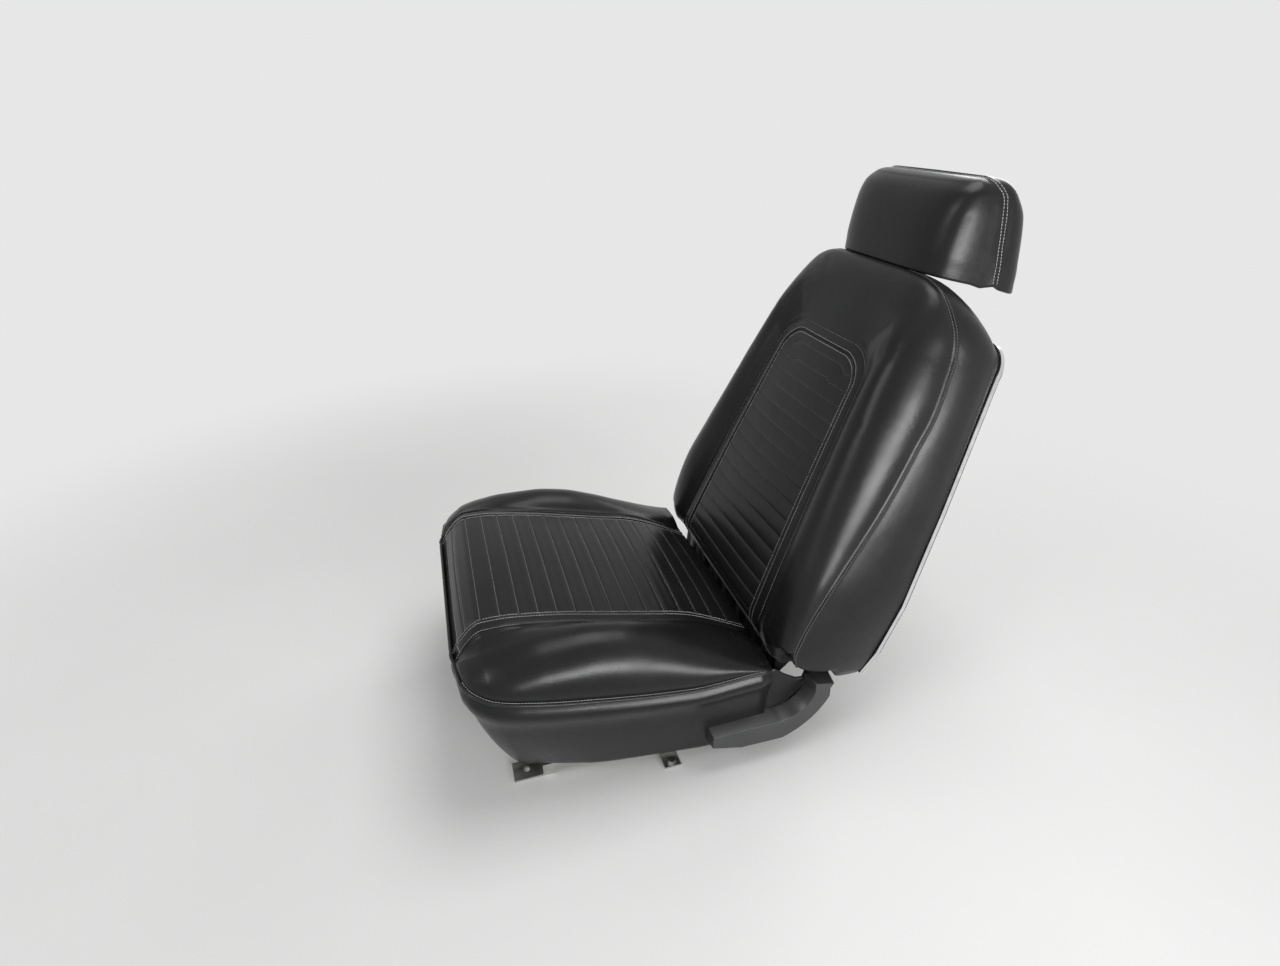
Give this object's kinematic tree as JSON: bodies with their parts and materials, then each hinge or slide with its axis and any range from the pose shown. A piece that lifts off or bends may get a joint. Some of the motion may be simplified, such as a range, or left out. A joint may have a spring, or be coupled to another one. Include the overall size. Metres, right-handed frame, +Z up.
{
  "type": "bucket seat",
  "caption": "High-backed bucket seat with pleated inserts, a folding backrest, a sliding headrest, hinge covers and floor tracks.",
  "frame": {"origin": "on the floor, at the centre of the four floor bolts", "axes": "+X to the sitter's left, -Y the way the sitter faces, +Z up"},
  "size_m": [0.5169, 0.9012, 0.87],
  "materials": {
    "black_vinyl": "satin",
    "black_welt": "satin",
    "black_shell": "satin",
    "grey_cover": "satin",
    "knob_plastic": "gloss",
    "chrome": "polished",
    "bright_trim": "satin",
    "zinc_steel": "satin",
    "black_steel": "satin"
  },
  "bodies": {
    "tracks": {"lower_track_left": "zinc_steel", "lower_track_right": "zinc_steel", "side_bolt_left": "zinc_steel", "side_bolt_right": "zinc_steel"},
    "seat_pan": {"upper_track_left": "zinc_steel", "upper_track_right": "zinc_steel", "seat_frame": "black_steel", "seat_springs": "black_steel", "hinge_arm_left": "black_steel", "hinge_arm_right": "chrome", "hinge_cover": "grey_cover", "seat_skirt": "black_vinyl", "seat_cushion": "black_vinyl", "seat_insert": "black_vinyl", "seat_piping": "black_welt", "latch_rod": "zinc_steel", "adjuster_lever": "black_steel", "lever_knob": "knob_plastic"},
    "backrest": {"pivot_bracket_left": "black_steel", "pivot_bracket_right": "black_steel", "backrest_cushion": "black_vinyl", "backrest_flap": "black_vinyl", "backrest_insert": "black_vinyl", "backrest_boxing": "black_vinyl", "back_shell": "black_shell", "shell_trim": "bright_trim", "latch_bezel": "black_shell", "latch_knob": "chrome", "headrest_escutcheon": "black_shell"},
    "headrest": {"headrest_bar": "chrome", "headrest_cushion": "black_vinyl", "headrest_back": "black_vinyl"}
  },
  "joints": [
    {"name": "seat_slide", "type": "slide", "parent": "tracks", "child": "seat_pan", "axis": [0, 1, 0], "range_m": [-0.08, 0.04]},
    {"name": "backrest_fold", "type": "hinge", "parent": "seat_pan", "child": "backrest", "pos_m": [0, 0.28, 0.224], "axis": [1, 0, 0], "range_deg": [0, 48]},
    {"name": "headrest_slide", "type": "slide", "parent": "backrest", "child": "headrest", "axis": [0, 0.3469, 0.9379], "range_m": [0, 0.065]}
  ]
}
